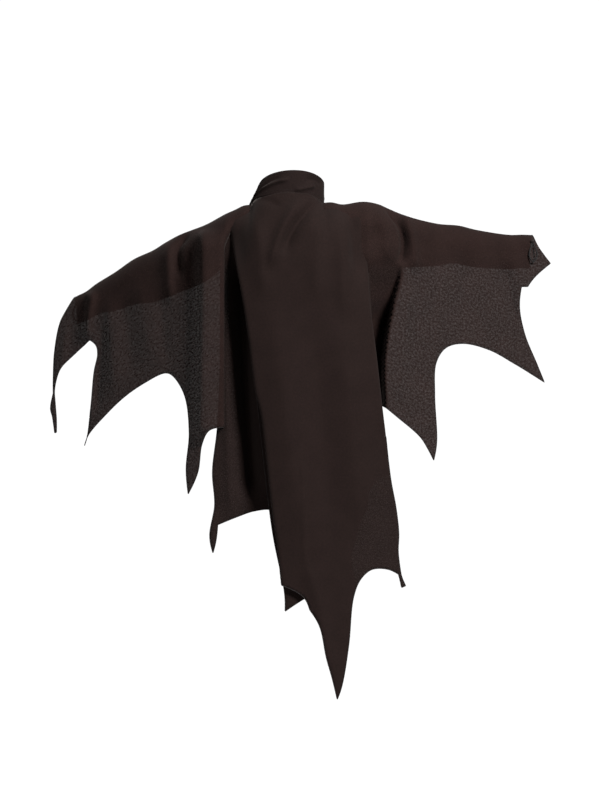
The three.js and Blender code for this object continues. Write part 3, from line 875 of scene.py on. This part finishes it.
def collar():
    """The stand collar: two cloth layers, rolled over at the top, with the soft wrinkles of the seam."""
    half = 180 - COLLAR["front_gap"]
    turns = np.linspace(-half, half, 200)
    up = np.linspace(-0.1, 1, 26)
    wall = COLLAR["wall"]
    arc = np.linspace(0, math.pi, 9)[1:-1]
    heights = np.concatenate([up, 1 + 0.045 * np.sin(arc), up[::-1]])
    outs = np.concatenate([np.full_like(up, wall), wall * np.cos(arc), np.full_like(up, -wall)])
    grid_turn, grid_height = np.meshgrid(turns, heights, indexing="ij")
    flat = np.column_stack([grid_turn.ravel() * 1.12, grid_height.ravel() * 40])
    wrinkles = creases(flat, [
        ([[-78, 2], [-50, 12], [-20, 20], [6, 24]], 6, 5, 3.5, 0.2),
        ([[-74, 10], [-44, 22], [-10, 30]], -2.8, 4, 4, 0.2),
        ([[10, 2], [30, 8], [56, 20]], 4.6, 5, 3.5, 0.2),
        ([[30, 24], [52, 30], [76, 28]], -2.4, 5, 5, 0.2),
        ([[-130, 6], [-110, 20], [-92, 32]], 1.6, 6, 6, 0.2),
        ([[104, 8], [118, 20], [136, 30]], 1.6, 6, 6, 0.2),
    ]).reshape(grid_turn.shape)
    waves = 0.5 * np.sin(np.radians(grid_turn * 5)) * grid_height
    points = collar_place(grid_turn, grid_height, outs[None, :] + wrinkles + waves).reshape(-1, 3)
    rows, columns = grid_turn.shape
    faces = [
        [i * columns + j, (i + 1) * columns + j, (i + 1) * columns + (j + 1) % columns,
         i * columns + (j + 1) % columns]
        for i in range(rows - 1) for j in range(columns)
    ]
    faces.append(list(range(columns)))
    faces.append(list(range((rows - 1) * columns, rows * columns))[::-1])
    piece = make_mesh("collar_cloth", points, faces, MATERIALS["collar"], flat)
    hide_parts("collar_outer", "collar_lining", "collar_interfacing")
    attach(piece, "cape")
    rows_of_stitches = []
    for name, height in (("collar_seam_stitches", 0.1), ("collar_edge_stitches", 0.93)):
        line = collar_place(turns, np.full_like(turns, height), np.full_like(turns, wall + 0.1))
        rows_of_stitches.append(stitches(name, line))
        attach(rows_of_stitches[-1], "cape")
    length = math.pi * (COLLAR["half_width"] + COLLAR["half_depth"]) * half / 180
    return piece, length, rows_of_stitches


def dressed(node, name, material, body):
    """A small cut part: the frame's solid with its edges rounded and its surface made fine."""
    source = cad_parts[node].data
    mesh = bpy.data.meshes.new(name)
    shape = bmesh.new()
    shape.from_mesh(source)
    bmesh.ops.remove_doubles(shape, verts=shape.verts, dist=1e-6)
    sharp = [edge for edge in shape.edges if edge.is_manifold and edge.calc_face_angle(0) > 0.6]
    bmesh.ops.bevel(shape, geom=sharp, offset=0.0003, segments=2, affect="EDGES", clamp_overlap=True)
    shape.to_mesh(mesh)
    shape.free()
    mesh.polygons.foreach_set("use_smooth", [True] * len(mesh.polygons))
    mesh.materials.clear()
    mesh.materials.append(MATERIALS[material])
    corners = np.zeros(len(mesh.loops), int)
    mesh.loops.foreach_get("vertex_index", corners)
    places = np.zeros(len(mesh.vertices) * 3)
    mesh.vertices.foreach_get("co", places)
    layer = mesh.uv_layers.new(name="cloth")
    layer.data.foreach_set("uv", places.reshape(-1, 3)[corners][:, [0, 2]].ravel())
    layer.active = True
    piece = bpy.data.objects.new(name, mesh)
    bpy.context.scene.collection.objects.link(piece)
    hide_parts(node)
    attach(piece, body)
    return piece


def finger_loop(side):
    """The elastic loop for the middle finger, open at its tack."""
    place = LOOPS[side]
    half = [[-2.2, 0, 0], [-2.4, 0.1, 0.3], [-7, 0.45, 1], [-7, 0.75, 1]]
    route = half + [[0, 1, 1]] + [[-dx, drop, away] for dx, drop, away in reversed(half)]
    points = curve([[place["x"] + dx, place["y"] + place["lean"] * away, place["top"] - drop * LOOP_DROP]
                    for dx, drop, away in route], 2.5)
    data = bpy.data.curves.new(f"{side}_loop_cord", "CURVE")
    data.dimensions = "3D"
    data.bevel_depth = LOOP_DIAMETER / 2 * MM
    data.bevel_resolution = 5
    data.use_fill_caps = True
    spline = data.splines.new("POLY")
    spline.points.add(len(points) - 1)
    for spline_point, point in zip(spline.points, points):
        spline_point.co = (*(point * MM), 1)
    data.materials.append(MATERIALS["elastic"])
    piece = bpy.data.objects.new(f"{side}_loop_cord", data)
    bpy.context.scene.collection.objects.link(piece)
    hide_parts(f"{side}_finger_loop")
    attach(piece, f"{side}_finger_loop")


# ---- the studio -----------------------------------------------------------------------------------

def area_light(name, place, size, energy, target=(0, 0, -0.35)):
    """A square light at the place, turned to the target."""
    data = bpy.data.lights.new(name, "AREA")
    data.shape = "SQUARE"
    data.size = size
    data.energy = energy
    light = bpy.data.objects.new(name, data)
    light.location = place
    light.rotation_euler = (Vector(target) - Vector(place)).to_track_quat("-Z", "Y").to_euler()
    bpy.context.scene.collection.objects.link(light)
    return light


def sun(name, energy):
    """A broad light from straight above."""
    data = bpy.data.lights.new(name, "SUN")
    data.energy = energy
    data.angle = math.radians(70)
    light = bpy.data.objects.new(name, data)
    bpy.context.scene.collection.objects.link(light)
    return light


def linked(name, piece, state, lights):
    """Lets the lights reach only the piece (INCLUDE), or everything but the piece (EXCLUDE)."""
    receivers = bpy.data.collections.new(name)
    receivers.objects.link(piece)
    receivers.collection_objects[0].light_linking.link_state = state
    for light in lights:
        light.light_linking.receiver_collection = receivers


def studio():
    """The camera, the white backdrop, the lights and the floor, which takes only its own light."""
    data = bpy.data.cameras.new("camera")
    data.lens = CAMERA_LENS
    data.sensor_width = 36
    data.clip_end = 200
    camera = bpy.data.objects.new("camera", data)
    camera.location = CAMERA_PLACE
    camera.rotation_euler = (math.pi / 2, 0, 0)
    bpy.context.scene.collection.objects.link(camera)
    bpy.context.scene.camera = camera

    world = bpy.data.worlds.new("studio")
    world.use_nodes = True
    tree = world.node_tree
    tree.nodes["Background"].inputs["Color"].default_value = (1, 1, 1, 1)
    path = tree.nodes.new("ShaderNodeLightPath")
    strength = tree.nodes.new("ShaderNodeMapRange")
    strength.inputs["To Min"].default_value = BACKDROP_LIGHT
    strength.inputs["To Max"].default_value = BACKDROP_SEEN
    tree.links.new(path.outputs["Is Camera Ray"], strength.inputs["Value"])
    tree.links.new(strength.outputs["Result"], tree.nodes["Background"].inputs["Strength"])
    bpy.context.scene.world = world
    bpy.context.scene.view_settings.view_transform = "Standard"

    key = area_light("key", (1.7, -2.8, 1.6), 0.8, 360)
    area_light("fill", (-2.6, -2.0, 0.3), 1.0, 15)
    overhead = sun("overhead", 1.6)
    floor_light = sun("floor_light", 3.2)
    floor_light.data.use_shadow = False

    turns = np.linspace(0, 2 * math.pi, 97)[:-1]
    rim = np.column_stack([np.cos(turns), np.sin(turns)]) * FLOOR_RADIUS
    corners = np.column_stack([rim, np.full(len(rim), FLOOR_HEIGHT)])
    floor = make_mesh("floor", corners, [list(range(len(rim)))], MATERIALS["floor"], rim)
    linked("kept_off_the_floor", floor, "EXCLUDE", [key, overhead])
    linked("only_the_floor", floor, "INCLUDE", [floor_light])


# ---- assembly -------------------------------------------------------------------------------------

studio()
finger_loop("left")
finger_loop("right")

collar_piece, collar_length, collar_stitches = collar()
loop_tape = dressed("loop_tape", "loop_tape_pile", "loop", "cape")
label = dressed("care_label", "blank_care_label", "label", "cape")
neck_tape = dressed("neck_tape", "neck_ribbon", "tape", "cape")
tab = dressed("collar_tab", "tab_cloth", "collar", "collar_tab")
hook_tape = dressed("hook_tape", "hook_tape_pile", "hook", "collar_tab")
dressed("left_finger_loop_tack", "left_bar_tack", "hem", "left_wing")
dressed("right_finger_loop_tack", "right_bar_tack", "hem", "right_wing")
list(collar_stitches)

back_panel()
pleat_underlay()
left_side()
right_side()
left_wing()
right_wing()
